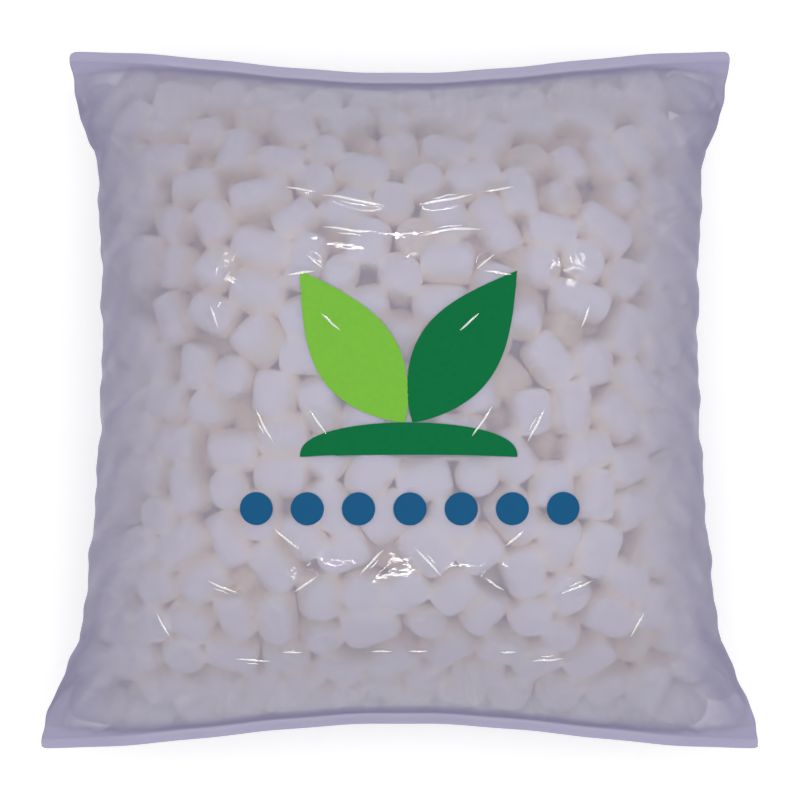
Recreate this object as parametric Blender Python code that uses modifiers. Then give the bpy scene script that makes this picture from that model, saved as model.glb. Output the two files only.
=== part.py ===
"""Clear pillow bag full of starch packing peanuts, at rest on its back panel.

Metres. +X runs across the bag, +Y from its bottom seal to its top seal, and +Z up through its thickness.
"""

import math

import bmesh
import bpy
import numpy as np
from mathutils import Matrix, Vector
from mathutils.bvhtree import BVHTree
from mathutils.geometry import delaunay_2d_cdt
from mathutils.kdtree import KDTree

# The filled bag, seen from above
CORNER_LENGTH = 0.594  # from the bottom corners to the top corners
TOP_DIP = 0.019  # how far the filling draws in the middle of the top seal
BOTTOM_DIP = 0.022  # the same at the bottom seal
WAIST_WIDTH = 0.507  # the narrowest place
WAIST_UP = 0.063  # how far the waist lies above the middle
HIP_WIDTH = 0.546  # where the bottom ears begin
BOTTOM_CORNERS_WIDTH = 0.616
BOTTOM_EAR_LENGTH = 0.092
BOTTOM_EAR_POWER = 2  # how late the sides turn into the ears: higher is later
TOP_CORNERS_WIDTH = 0.565
TOP_EAR_LENGTH = 0.085
TOP_EAR_POWER = 3.5

# The filled bag, seen from the side
THICKNESS = 0.245
SEAL_HEIGHT = 0.100  # of both seals and both side folds over the floor
FLOOR_SHARE = 0.75  # where the back panel's fullness passes this, it lies on the floor
LENGTH_POWER = 3  # how late the fullness falls off towards the seals
LENGTH_ROUNDING = 0.8
WIDTH_POWER = 2.6  # the same towards the side folds
WIDTH_ROUNDING = 0.5
EAR_ROUNDING = 0.9  # what the seals add to the rounding at the folds, so that the ears come out flat
SEAL_POWER = 8  # for what happens only close to the seals
EAR_DROOP = 0.012
DROOP_ACROSS_POWER = 4
DROOP_ALONG_POWER = 6
GATHER_DEPTH = 0.003  # waves that the filling leaves in the seals
GATHERS = 8
SECTION_SAMPLES = 241

# Film
FILM = 0.0001
SEAL_BAND = 0.010
FOLD_RADIUS = 0.0005  # the side folds and the air between the panels in the ears
VENT_DIAMETER = 0.006
VENT_SPACING = 0.120
VENT_FROM_SEAL = 0.045
VENT_CUTTER_HEIGHT = 0.100
VENT_CUTTER_MIDDLE = 0.030
VENT_SEGMENTS = 12

# Filling
PEANUT_DIAMETER = 0.0378  # near the bottom seal
TOP_PEANUT_DIAMETER = 0.0330  # near the top seal, where the smaller ones lie
PEANUT_LENGTH = 0.0430
DIAMETER_SPREAD = 0.05
LENGTH_SPREAD = 0.10
WIDEST_SPREAD = 2.2  # how many spreads the oddest peanut is off
PACKED_SHARE = 0.95  # of the bag's room, counted by the peanuts' full cylinders
PEANUT_ROUNDING = 0.6  # of the ends, in radii
PINCHED = 0.96  # of its radius is what a peanut keeps among the others
PEANUT_SEGMENTS = 14
PEANUT_END_SEGMENTS = 3
LAYER_DEPTH = 0.038  # peanuts whose middles lie deeper under the film don't show
TOUCH_DEPTH = 0.006  # a peanut whose surface is no deeper touches the film
FLATTENED = 0.0012  # how far under the smooth film the peanuts are pressed flat
CLEARANCE = 0.0003  # between the filling and the film
SAG = 0.0035  # how deep the film sinks between neighbouring peanuts
LOOK_DEPTH = 0.018  # how far in from the film's highest place the filling is looked for
PRESSED = 0.0007  # from the film to the tops that it lies over, before it flattens them
RIDGE = 0.009  # half of the stretch on which the film lies along a peanut
HEART_SMALLER_BY = (0.041, 0.109, 0.041)  # than the bag, in width, length and thickness
HEART_REACH = 0.9
HEART_RINGS = 25
HEART_COLUMNS = 30

# Packing: a peanut is two balls on its axis, and all of them grow and push each other apart
BALL_SHARE = 0.9  # of a radius, from the middle of a ball to its end of the peanut
START_SIZE = 0.6
START_DEPTH = 0.8  # in radii
GROWTH_STEPS = 120
SETTLING_STEPS = 70
SEARCH_EVERY = 8  # steps
SEARCH_REACH = 2.4  # in radii
OUTER_REACH = 2.0  # in radii
PUSH_SHARE = 0.45
TURN_SHARE = 0.5
LEAST_LEVER = 0.2  # in radii

# Fineness of the meshes
GRID_COLUMNS = 127
GRID_ROWS = 133
PANEL_COLUMNS = 29
BAG_ROWS = 34
PLAIN_SPACING = 0.019  # between the film's points where no peanut lies under it
FLOOR_SPACING = 0.040  # the same where it lies on the floor
RIM_SPACING = 0.0063  # between the rim's points and all others
LEAST_SPACING = 0.012
WIDEST_DIMPLE = 0.065  # peanuts that lie farther apart have no dimple between them
FLAT_TOLERANCE = 0.0004
RIM_BOW = 0.03
FLAT_STRETCH = 1.2  # the film laid flat against the filled bag
SAME_POINT = 1e-7
VOXEL = 0.0034
FILLING_FACES = 9900

SEED = 8


def clear_scene():
    for obj in list(bpy.data.objects):
        bpy.data.objects.remove(obj)


def new_collection(name):
    made = bpy.data.collections.new(name)
    bpy.context.scene.collection.children.link(made)
    return made


def new_object(name, mesh, collection, material=None):
    obj = bpy.data.objects.new(name, mesh)
    collection.objects.link(obj)
    if material:
        mesh.materials.append(material)
    return obj


def as_helper(obj):
    obj.hide_render = True
    obj.display_type = "WIRE"
    return obj


def principled(name, color, roughness, alpha=1.0):
    made = bpy.data.materials.new(name)
    made.use_nodes = True
    shader = made.node_tree.nodes["Principled BSDF"]
    shader.inputs["Base Color"].default_value = (*color, 1.0)
    shader.inputs["Roughness"].default_value = roughness
    shader.inputs["Metallic"].default_value = 0.0
    shader.inputs["Alpha"].default_value = alpha
    return made


def seal_y(side, across):
    """Where a seal's inner edge runs: side is -1 at the bottom and 1 at the top, across from -1 to 1."""
    dip = TOP_DIP if side > 0 else BOTTOM_DIP
    bow = (1 - np.cos(np.pi * np.abs(across))) / 2
    return side * (CORNER_LENGTH / 2 - SEAL_BAND - dip * (1 - bow))


def half_width(y):
    """The side folds' distance from the middle line: a shallow curve, and an ear at each end."""
    corner = CORNER_LENGTH / 2
    hip_y = BOTTOM_EAR_LENGTH - corner
    curve = (HIP_WIDTH - WAIST_WIDTH) / 2 / (hip_y - WAIST_UP) ** 2

    def body(at):
        return WAIST_WIDTH / 2 + curve * (at - WAIST_UP) ** 2

    bottom = min(1, (y + corner) / BOTTOM_EAR_LENGTH)
    top = min(1, (corner - y) / TOP_EAR_LENGTH)
    bottom_ear = (BOTTOM_CORNERS_WIDTH / 2 - body(-corner)) * (1 - bottom**BOTTOM_EAR_POWER)
    top_ear = (TOP_CORNERS_WIDTH / 2 - body(corner)) * (1 - top**TOP_EAR_POWER)
    return body(y) + bottom_ear + top_ear


def fullness(across, along):
    """How far the panels stand apart, from 0 at the seals and folds to 1 in the middle of the bag."""
    rounding = WIDTH_ROUNDING + EAR_ROUNDING * abs(along) ** SEAL_POWER
    lengthwise = (1 - abs(along) ** LENGTH_POWER) ** LENGTH_ROUNDING
    return lengthwise * (1 - np.abs(across) ** WIDTH_POWER) ** rounding


def section(along, panel, count):
    """A line of points across the bag on its top (1) or bottom (-1) panel, evenly spaced on the film."""
    across = -np.cos(np.linspace(0, np.pi, SECTION_SAMPLES))
    reach = abs(along) ** LENGTH_POWER
    middle_y = along * abs(seal_y(math.copysign(1, along), 0))
    fold_y = along * abs(seal_y(math.copysign(1, along), 1))
    y = middle_y + (fold_y - middle_y) * reach * (1 - np.cos(np.pi * np.abs(across))) / 2
    x = across * half_width(middle_y + (fold_y - middle_y) * reach)
    wave = GATHER_DEPTH * np.cos(np.pi * GATHERS * across) * abs(along) ** SEAL_POWER
    droop = EAR_DROOP * np.abs(across) ** DROOP_ACROSS_POWER * abs(along) ** DROOP_ALONG_POWER
    share = fullness(across, along)
    if panel > 0:
        z = SEAL_HEIGHT + FOLD_RADIUS + (THICKNESS - SEAL_HEIGHT - FOLD_RADIUS) * share
    else:
        z = (SEAL_HEIGHT - FOLD_RADIUS) * (1 - np.minimum(1, share / FLOOR_SHARE)) ** 2
    z += (wave - droop) * (1 - share)
    line = np.stack([x, y, z], axis=1)
    run = np.concatenate([[0], np.cumsum(np.linalg.norm(np.diff(line, axis=0), axis=1))])
    even = np.linspace(0, run[-1], count)
    return np.stack([np.interp(even, run, line[:, i]) for i in range(3)], axis=1)


class Panel:
    """One side of the film, smooth, as a fine grid of points with its outward normals."""

    def __init__(self, side):
        self.side = side
        rows = np.linspace(-1, 1, GRID_ROWS)
        self.points = np.array([section(along, side, GRID_COLUMNS) for along in rows])
        normals = np.cross(np.gradient(self.points, axis=1), np.gradient(self.points, axis=0))
        size = np.linalg.norm(normals, axis=2, keepdims=True)
        self.normals = side * normals / np.maximum(size, 1e-12)
        # The panel laid flat, its rim bowed a little so that no three points of it are in line
        u, v = np.meshgrid(np.linspace(-1, 1, GRID_COLUMNS), rows)
        wide = u * WAIST_WIDTH * (1 + RIM_BOW * (1 - v**2))
        long = v * CORNER_LENGTH * (1 + RIM_BOW * (1 - u**2))
        self.flat = np.stack([wide, long], axis=2) * FLAT_STRETCH / 2

    def on_floor(self, place):
        return self.side < 0 and self.points[place][2] < FLAT_TOLERANCE

    def nearest(self, point):
        """The grid's row and column that lie closest to a point in space."""
        away = np.linalg.norm(self.points - np.array(point), axis=2)
        return np.unravel_index(away.argmin(), away.shape)

    def nearest_flat(self, point):
        away = np.linalg.norm(self.flat - np.array(point), axis=2)
        return np.unravel_index(away.argmin(), away.shape)


def farthest_first(places, spacing, taken=()):
    """Picks places one by one, each in the widest bare stretch, until none is wider than the spacing."""
    nearest = np.full(len(places), np.inf)
    for point in taken:
        nearest = np.minimum(nearest, np.linalg.norm(places - point, axis=1))
    picked = []
    while nearest.max() > spacing:
        picked.append(int(nearest.argmax()))
        nearest = np.minimum(nearest, np.linalg.norm(places - places[picked[-1]], axis=1))
    return picked


def skin_tree(grids):
    """Both smooth panels, top one first, as one search tree whose faces look outwards."""
    corners, faces = [], []
    for side, grid in zip((1, -1), grids):
        rows, columns = grid.shape[:2]
        index = len(corners) + np.arange(rows * columns).reshape(rows, columns)
        quads = np.stack([index[:-1, :-1], index[:-1, 1:], index[1:, 1:], index[1:, :-1]], axis=2)
        faces += quads.reshape(-1, 4)[:, ::side].tolist()
        corners += grid.reshape(-1, 3).tolist()
    return BVHTree.FromPolygons(corners, faces)


def depths(skin, points):
    """How deep points lie inside the bag, negative outside, and the ways inwards from there."""
    depth = np.empty(len(points))
    inward = np.empty((len(points), 3))
    for i, point in enumerate(points):
        place, normal, _, distance = skin.find_nearest(Vector(point))
        depth[i] = math.copysign(distance, (place - Vector(point)).dot(normal))
        inward[i] = -normal
    return depth, inward


def volume_under(grid):
    """Volume between a panel and the floor."""
    across = np.diff(grid, axis=1)[:-1]
    along = np.diff(grid, axis=0)[:, :-1]
    area = across[..., 0] * along[..., 1] - across[..., 1] * along[..., 0]
    return float(np.sum(area * grid[:-1, :-1, 2]))


def touching_balls(points, reach, count):
    """Pairs of balls of different peanuts that may come to touch. Ball i belongs to peanut i % count."""
    tree = KDTree(len(points))
    for i, point in enumerate(points):
        tree.insert(point, i)
    tree.balance()
    pairs = []
    for i, point in enumerate(points):
        pairs += [(i, j) for _, j, _ in tree.find_range(point, reach) if j > i and (j - i) % count]
    return np.array(pairs).T


def packed_peanuts(grids, skin, rng):
    """Middles, axes, radii and half lengths of the peanuts that fill the bag."""
    small, large = TOP_PEANUT_DIAMETER / 2, PEANUT_DIAMETER / 2
    room = volume_under(grids[0]) - volume_under(grids[1])
    count = round(PACKED_SHARE * room / (math.pi * ((small + large) / 2) ** 2 * PEANUT_LENGTH))
    low, high = grids[0].min(axis=(0, 1)) * (1, 1, 0), grids[0].max(axis=(0, 1))
    middle = np.empty((0, 3))
    while len(middle) < count:
        tries = rng.uniform(low, high, (count, 3))
        middle = np.concatenate([middle, tries[depths(skin, tries)[0] > START_DEPTH * small]])
    middle = middle[:count]
    up = (middle[:, 1] - low[1]) / (high[1] - low[1])
    radius = (large + (small - large) * up) * (1 + DIAMETER_SPREAD * odds(rng, count))
    half = PEANUT_LENGTH / 2 * (1 + LENGTH_SPREAD * odds(rng, count))
    axis = rng.normal(size=(count, 3))
    axis /= np.linalg.norm(axis, axis=1, keepdims=True)
    owner = np.arange(2 * count) % count
    sign = np.repeat([1.0, -1.0], count)[:, None]
    for step in range(GROWTH_STEPS + SETTLING_STEPS):
        size = min(1, START_SIZE + (1 - START_SIZE) * step / GROWTH_STEPS)
        ball = (radius * size)[owner]
        reach = (half - BALL_SHARE * radius) * size
        balls = middle[owner] + axis[owner] * reach[owner][:, None] * sign
        if step % SEARCH_EVERY == 0:
            i, j = touching_balls(balls, SEARCH_REACH * large, count)
            outer = np.flatnonzero(depths(skin, balls)[0] < OUTER_REACH * large)
        between = balls[i] - balls[j]
        apart = np.linalg.norm(between, axis=1)
        push = between * (PUSH_SHARE * np.maximum(0, ball[i] + ball[j] - apart) / apart)[:, None]
        move = np.zeros_like(balls)
        np.add.at(move, i, push)
        np.add.at(move, j, -push)
        depth, inward = depths(skin, balls[outer])
        move[outer] += inward * np.maximum(0, ball[outer] + FILM + CLEARANCE - depth)[:, None]
        first, second = move[:count], move[count:]
        middle = middle + (first + second) / 2
        lever = 2 * np.maximum(reach, LEAST_LEVER * radius)
        axis = axis + (first - second) * (TURN_SHARE / lever)[:, None]
        axis /= np.linalg.norm(axis, axis=1, keepdims=True)
    return middle, axis, radius, half


def odds(rng, count):
    return np.clip(rng.normal(size=count), -WIDEST_SPREAD, WIDEST_SPREAD)


def triangles_between(flat, loop):
    """Delaunay triangles through flat points, inside the loop that the first points make."""
    edges = [(i, (i + 1) % loop) for i in range(loop)]
    made = delaunay_2d_cdt([Vector(point) for point in flat], edges, [], 1, SAME_POINT)
    if len(made[0]) != len(flat):
        raise ValueError("two of the film's points coincide")
    return [[made[3][i][0] for i in face] for face in made[2]]


def dimples(panel, peanuts):
    """Grid places between neighbouring peanuts, where the film sinks a little."""
    tops = [panel.nearest(middle) for middle, _, _, _ in peanuts]
    flat = np.array([panel.flat[top] for top in tops])
    made = delaunay_2d_cdt([Vector(point) for point in flat], [], [], 0, SAME_POINT)
    found = []
    for face in made[2]:
        corners = np.array([made[0][i] for i in face])
        sides = np.linalg.norm(corners - np.roll(corners, 1, axis=0), axis=1)
        if sides.max() < WIDEST_DIMPLE:
            found.append(panel.nearest_flat(corners.mean(axis=0)))
    return found


def film_places(panel, peanuts):
    """Where the film's own points go on one panel: its rim first, then over and between the peanuts."""
    rows, columns = (
        np.unique(np.linspace(0, fine - 1, coarse).round().astype(int))
        for fine, coarse in ((GRID_ROWS, BAG_ROWS), (GRID_COLUMNS, PANEL_COLUMNS))
    )
    last_row, last_column = GRID_ROWS - 1, GRID_COLUMNS - 1
    rim = [(0, c) for c in columns[:-1]] + [(r, last_column) for r in rows[:-1]]
    rim += [(last_row, c) for c in columns[:0:-1]] + [(r, 0) for r in rows[:0:-1]]
    rim_points = np.array([panel.points[place] for place in rim])

    def free(place):
        off_rim = np.linalg.norm(rim_points - panel.points[place], axis=1).min() > RIM_SPACING
        return off_rim and not panel.on_floor(place)

    tops = [middle + axis * along for middle, axis, _, _ in peanuts for along in (-RIDGE, RIDGE)]
    over = [panel.nearest(top) for top in tops]
    inner, taken = [], list(rim_points)
    for place in [*over, *dimples(panel, peanuts)]:
        clear = np.linalg.norm(np.array(taken) - panel.points[place], axis=1).min() > LEAST_SPACING
        if clear and free(place):
            inner.append(place)
            taken.append(panel.points[place])
    every = [(r, c) for r in range(2, last_row - 1) for c in range(2, last_column - 1)]
    for places, spacing in (
        ([place for place in every if free(place)], PLAIN_SPACING),
        ([place for place in every if panel.on_floor(place)], FLOOR_SPACING),
    ):
        if places:
            picked = farthest_first(np.array([panel.points[place] for place in places]), spacing, taken)
            inner += [places[i] for i in picked]
            taken += [panel.points[places[i]] for i in picked]
    return rim, inner


def laid_film(panel, peanuts, filling):
    """The film's points laid over the filling on one panel, the same points flat, and the rim's count."""
    rim, inner = film_places(panel, peanuts)
    points = [panel.points[place] for place in rim]
    for place in inner:
        point, normal = Vector(panel.points[place]), Vector(panel.normals[place])
        _, _, _, gap = filling.ray_cast(point + normal * SAG, -normal, LOOK_DEPTH)
        sag = SAG if gap is None else max(0, min(SAG, gap - SAG - FILM - PRESSED))
        laid = point - normal * sag
        laid.z = 0 if panel.on_floor(place) else max(0, laid.z)
        points.append(laid)
    return points, [panel.flat[place] for place in (*rim, *inner)], len(rim)


def tube(name, laid, with_bands):
    """The film's outer surface over both panels, closed at its ends, with or without the heat seals."""
    bm = bmesh.new()
    rims = []
    for points, flat, loop in laid:
        verts = [bm.verts.new(point) for point in points]
        for face in triangles_between(flat, loop):
            bm.faces.new([verts[i] for i in face])
        rims.append(verts[:loop])
    across, up = PANEL_COLUMNS - 1, BAG_ROWS - 1
    count = len(rims[0])
    for i in range(count):
        on_seal = i < across or across + up <= i < 2 * across + up
        if not (on_seal and with_bands):
            j = (i + 1) % count
            bm.faces.new((rims[0][i], rims[0][j], rims[1][j], rims[1][i]))
    if with_bands:
        for side, first in ((-1, 0), (1, across + up)):
            add_band(bm, side, [(rims[0][i], rims[1][i]) for i in range(first, first + across + 1)])
    bmesh.ops.recalc_face_normals(bm, faces=bm.faces)
    mesh = bpy.data.meshes.new(name)
    bm.to_mesh(mesh)
    bm.free()
    return mesh


def add_band(bm, side, seam):
    """The heat seal beyond the end of the tube: both panels flat on each other, out to the corners."""
    corner = side * CORNER_LENGTH / 2
    flare = half_width(corner) / half_width(corner - side * SEAL_BAND) - 1
    rows = [seam]
    for share in (0.1, 1):
        row = []
        for top, bottom in seam:
            middle = (top.co + bottom.co) / 2 + Vector((0, side * SEAL_BAND * share, 0))
            middle.x *= 1 + flare * share
            row.append(tuple(bm.verts.new(middle + Vector((0, 0, z))) for z in (FILM, -FILM)))
        rows.append(row)
    for near, far in zip(rows, rows[1:]):
        for panel in (0, 1):
            for i in range(len(seam) - 1):
                bm.faces.new((near[i][panel], near[i + 1][panel], far[i + 1][panel], far[i][panel]))
        for i in (0, len(seam) - 1):
            bm.faces.new((near[i][0], near[i][1], far[i][1], far[i][0]))
    for i in range(len(seam) - 1):
        bm.faces.new((rows[-1][i][0], rows[-1][i + 1][0], rows[-1][i + 1][1], rows[-1][i][1]))


def drawn_in(name, source, distance):
    """A copy of a closed mesh with its surface moved inwards by an even distance."""
    bm = bmesh.new()
    bm.from_mesh(source)
    bm.normal_update()
    moves = [vert.normal * (distance * vert.calc_shell_factor()) for vert in bm.verts]
    for vert, move in zip(bm.verts, moves):
        vert.co -= move
    mesh = bpy.data.meshes.new(name)
    bm.to_mesh(mesh)
    bm.free()
    return mesh


def cut(obj, cutter):
    boolean = obj.modifiers.new(cutter.name, "BOOLEAN")
    boolean.operation = "DIFFERENCE"
    boolean.solver = "EXACT"
    boolean.object = cutter


def vent(name, x, collection):
    """A cutter that goes up through the back panel, and stops before the front one."""
    radius = VENT_DIAMETER / 2
    bm = bmesh.new()
    bmesh.ops.create_cone(
        bm, cap_ends=True, segments=VENT_SEGMENTS, radius1=radius, radius2=radius, depth=VENT_CUTTER_HEIGHT
    )
    mesh = bpy.data.meshes.new(name)
    bm.to_mesh(mesh)
    bm.free()
    cutter = as_helper(new_object(name, mesh, collection))
    cutter.location = (x, seal_y(1, 0) - VENT_FROM_SEAL, VENT_CUTTER_MIDDLE)
    return cutter


def film_bag(laid, inside, parts, helpers):
    """One tube of film, sealed at both ends. inside is the tube without its seals."""
    outer = tube("film_bag", laid, with_bands=True)
    outer.shade_smooth()
    bag = new_object("film_bag", outer, parts, principled("clear_film", (0.82, 0.80, 0.90), 0.12, 0.35))
    hollow = as_helper(new_object("film_hollow", drawn_in("film_hollow", inside, FILM), helpers))
    cut(bag, hollow)
    for i, side in enumerate((-1, 1)):
        cut(bag, vent(f"vent_{i + 1}", side * VENT_SPACING / 2, helpers))


def peanut_shape():
    """A short cylinder along Z with its ends rounded off."""
    radius, half = PEANUT_DIAMETER / 2, PEANUT_LENGTH / 2
    bm = bmesh.new()
    bmesh.ops.create_cone(
        bm, cap_ends=True, segments=PEANUT_SEGMENTS, radius1=radius, radius2=radius, depth=PEANUT_LENGTH
    )
    rims = [edge for edge in bm.edges if abs(sum(vert.co.z for vert in edge.verts)) > 2 * half - 1e-6]
    bmesh.ops.bevel(
        bm,
        geom=rims,
        offset=radius * PEANUT_ROUNDING,
        segments=PEANUT_END_SEGMENTS,
        profile=0.5,
        affect="EDGES",
    )
    return bm


def keep_largest_body(mesh):
    """Drops the small sealed gaps that are left between joined peanuts."""
    bm = bmesh.new()
    bm.from_mesh(mesh)
    left, bodies = set(bm.verts), []
    while left:
        body, edge = set(), [left.pop()]
        while edge:
            vert = edge.pop()
            body.add(vert)
            near = {e.other_vert(vert) for e in vert.link_edges} & left
            left -= near
            edge.extend(near)
        bodies.append(body)
    bodies.sort(key=len)
    bmesh.ops.delete(bm, geom=[vert for body in bodies[:-1] for vert in body], context="VERTS")
    bm.to_mesh(mesh)
    bm.free()


def add_heart(bm):
    """The bag's form, drawn in on every side, which stands for the peanuts behind the outer layer."""
    size = np.array([WAIST_WIDTH, CORNER_LENGTH, THICKNESS])
    shrink = 1 - np.array(HEART_SMALLER_BY) / size
    middle = np.array([0, 0, THICKNESS / 2])
    rings = []
    for along in np.linspace(-HEART_REACH, HEART_REACH, HEART_RINGS):
        ring = np.concatenate([section(along, 1, HEART_COLUMNS), section(along, -1, HEART_COLUMNS)[::-1]])
        rings.append([bm.verts.new(middle + (point - middle) * shrink) for point in ring])
    for first, second in zip(rings, rings[1:]):
        for i in range(len(first)):
            bm.faces.new((first[i - 1], first[i], second[i], second[i - 1]))
    bm.faces.new(rings[0])
    bm.faces.new(rings[-1])


def packing_peanuts(shown, skin, parts, helpers):
    """The filling as one solid: the peanuts that show, and a heart that stands for those behind them."""
    bm = bmesh.new()
    add_heart(bm)
    shape = peanut_shape()
    for middle, axis, radius, half in shown:
        wide = PINCHED * radius / (PEANUT_DIAMETER / 2)
        size = Matrix.Diagonal((wide, wide, half / (PEANUT_LENGTH / 2), 1))
        place = Matrix.Translation(middle) @ Vector(axis).to_track_quat("Z", "Y").to_matrix().to_4x4() @ size
        copies = {vert: bm.verts.new(place @ vert.co) for vert in shape.verts}
        for face in shape.faces:
            bm.faces.new([copies[vert] for vert in face.verts])
    shape.free()
    depth, inward = depths(skin, [vert.co for vert in bm.verts])
    for vert, under, way in zip(bm.verts, depth, inward):
        vert.co += Vector(way) * max(0, FLATTENED - under)
    mesh = bpy.data.meshes.new("packing_peanuts")
    bm.to_mesh(mesh)
    bm.free()
    loose = new_object("loose_peanuts", mesh, helpers)
    remesh = loose.modifiers.new("join", "REMESH")
    remesh.mode = "VOXEL"
    remesh.voxel_size = VOXEL
    joined = bpy.data.meshes.new_from_object(loose.evaluated_get(bpy.context.evaluated_depsgraph_get()))
    bpy.data.objects.remove(loose)
    keep_largest_body(joined)
    filling = new_object("packing_peanuts", joined, parts)
    thin = filling.modifiers.new("thin", "DECIMATE")
    thin.ratio = min(1, FILLING_FACES / (2 * len(joined.polygons)))
    thinned = bpy.data.meshes.new_from_object(filling.evaluated_get(bpy.context.evaluated_depsgraph_get()))
    filling.modifiers.remove(thin)
    thinned.materials.append(principled("starch_foam", (0.87, 0.86, 0.88), 0.85))
    thinned.shade_smooth()
    filling.data = thinned
    return filling


def keep_within(filling, inside, helpers):
    """Trims what stands out of the filling, as the film presses it flat."""
    shape = drawn_in("filling_limit", inside, FILM + CLEARANCE)
    limit = as_helper(new_object("filling_limit", shape, helpers))
    press = filling.modifiers.new("press", "SHRINKWRAP")
    press.target = limit
    press.wrap_method = "NEAREST_SURFACEPOINT"
    press.wrap_mode = "INSIDE"
    press.offset = CLEARANCE
    trim = filling.modifiers.new("trim", "BOOLEAN")
    trim.operation = "INTERSECT"
    trim.solver = "EXACT"
    trim.object = limit


def main():
    clear_scene()
    parts = new_collection("packing_peanut_bag")
    helpers = new_collection("helpers")
    panels = Panel(1), Panel(-1)
    grids = [panel.points for panel in panels]
    skin = skin_tree(grids)
    peanuts = packed_peanuts(grids, skin, np.random.default_rng(SEED))
    shown, near = [], [[], []]
    for peanut in zip(*peanuts):
        gaps = [np.linalg.norm(grid - peanut[0], axis=2).min() for grid in grids]
        if min(gaps) < LAYER_DEPTH:
            shown.append(peanut)
        if min(gaps) < peanut[2] + TOUCH_DEPTH:
            near[int(np.argmin(gaps))].append(peanut)
    filling = packing_peanuts(shown, skin, parts, helpers)
    solid = BVHTree.FromObject(filling, bpy.context.evaluated_depsgraph_get())
    laid = [laid_film(panel, peanuts, solid) for panel, peanuts in zip(panels, near)]
    inside = tube("bag_inside", laid, with_bands=False)
    film_bag(laid, inside, parts, helpers)
    keep_within(filling, inside, helpers)
    bpy.context.view_layer.update()


main()
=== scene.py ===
"""Looks of the packing peanut bag: clear film drawn taut over several hundred loose starch peanuts."""

import math

import bpy
import numpy as np
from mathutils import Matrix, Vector
from mathutils.bvhtree import BVHTree
from mathutils.geometry import delaunay_2d_cdt
from mathutils.kdtree import KDTree


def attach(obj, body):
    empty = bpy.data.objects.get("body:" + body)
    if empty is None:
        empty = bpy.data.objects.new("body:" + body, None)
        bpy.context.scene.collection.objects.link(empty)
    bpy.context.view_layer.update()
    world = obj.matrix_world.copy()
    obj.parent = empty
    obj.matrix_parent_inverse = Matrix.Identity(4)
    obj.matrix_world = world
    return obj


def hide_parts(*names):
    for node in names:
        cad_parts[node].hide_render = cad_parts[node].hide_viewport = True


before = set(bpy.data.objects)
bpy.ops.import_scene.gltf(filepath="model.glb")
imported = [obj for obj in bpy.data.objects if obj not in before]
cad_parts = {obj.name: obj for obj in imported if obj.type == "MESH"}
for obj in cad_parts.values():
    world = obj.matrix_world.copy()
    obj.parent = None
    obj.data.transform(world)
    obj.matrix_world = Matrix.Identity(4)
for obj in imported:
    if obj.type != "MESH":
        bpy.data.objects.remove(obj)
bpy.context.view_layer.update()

# The filled bag, with the same values as its solids
CORNER_LENGTH = 0.594
TOP_DIP = 0.019
BOTTOM_DIP = 0.022
WAIST_WIDTH = 0.507
WAIST_UP = 0.063
HIP_WIDTH = 0.546
BOTTOM_CORNERS_WIDTH = 0.616
BOTTOM_EAR_LENGTH = 0.092
BOTTOM_EAR_POWER = 2
TOP_CORNERS_WIDTH = 0.565
TOP_EAR_LENGTH = 0.085
TOP_EAR_POWER = 3.5
THICKNESS = 0.245
SEAL_HEIGHT = 0.100
TIP_RADIUS = 0.007
FLOOR_SHARE = 0.75
LENGTH_POWER = 3
LENGTH_ROUNDING = 0.8
WIDTH_POWER = 2.6
WIDTH_ROUNDING = 0.5
EAR_ROUNDING = 0.9
SEAL_POWER = 8
EAR_DROOP = 0.012
DROOP_ACROSS_POWER = 4
DROOP_ALONG_POWER = 6
GATHER_DEPTH = 0.003
GATHERS = 8
SECTION_SAMPLES = 241
FILM = 0.0001
SEAL_BAND = 0.010
FOLD_RADIUS = 0.0005

# Loose peanuts, with the same values as in the solids
PEANUT_DIAMETER = 0.0378  # near the bottom seal
TOP_PEANUT_DIAMETER = 0.0330  # near the top seal, where the smaller ones lie
PEANUT_LENGTH = 0.0430
DIAMETER_SPREAD = 0.05
LENGTH_SPREAD = 0.10
WIDEST_SPREAD = 2.2  # how many spreads the oddest peanut is off
PACKED_SHARE = 0.95  # of the bag's room, counted by the peanuts' full cylinders
CLEARANCE = 0.0003
GRID_COLUMNS = 127
GRID_ROWS = 133
SEED = 8

# Packing: a peanut is two balls on its axis, and all of them grow and push each other apart
BALL_SHARE = 0.9  # of a radius, from the middle of a ball to its end of the peanut
START_SIZE = 0.6
START_DEPTH = 0.8  # in radii
GROWTH_STEPS = 120
SETTLING_STEPS = 70
SEARCH_EVERY = 8  # steps
SEARCH_REACH = 2.4  # in radii
OUTER_REACH = 2.0  # in radii
PUSH_SHARE = 0.45
TURN_SHARE = 0.5
LEAST_LEVER = 0.2  # in radii

# Peanuts in detail
END_POWER = 4.4  # of the outline's rounding at the ends
SWELL, STRETCH = 1.025, 1.015  # foam squeezed against foam
FINE_AROUND, FINE_RINGS = 22, 14
COARSE_AROUND, COARSE_RINGS = 12, 8
OUTER_DEPTH = 0.046  # peanuts whose middles lie deeper are coarse
NEAR_FILM = 0.032  # those whose middles lie less deep may touch the film
FLATTENED = 0.0010  # under the smooth film
CLEAR = 0.0004  # foam to film, in the end
FLANK_CLEAR = 0.0050  # foam to side fold
RIM_CLEAR = 0.0013  # more of CLEAR near the folds and seals, where the film bends more sharply

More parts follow.
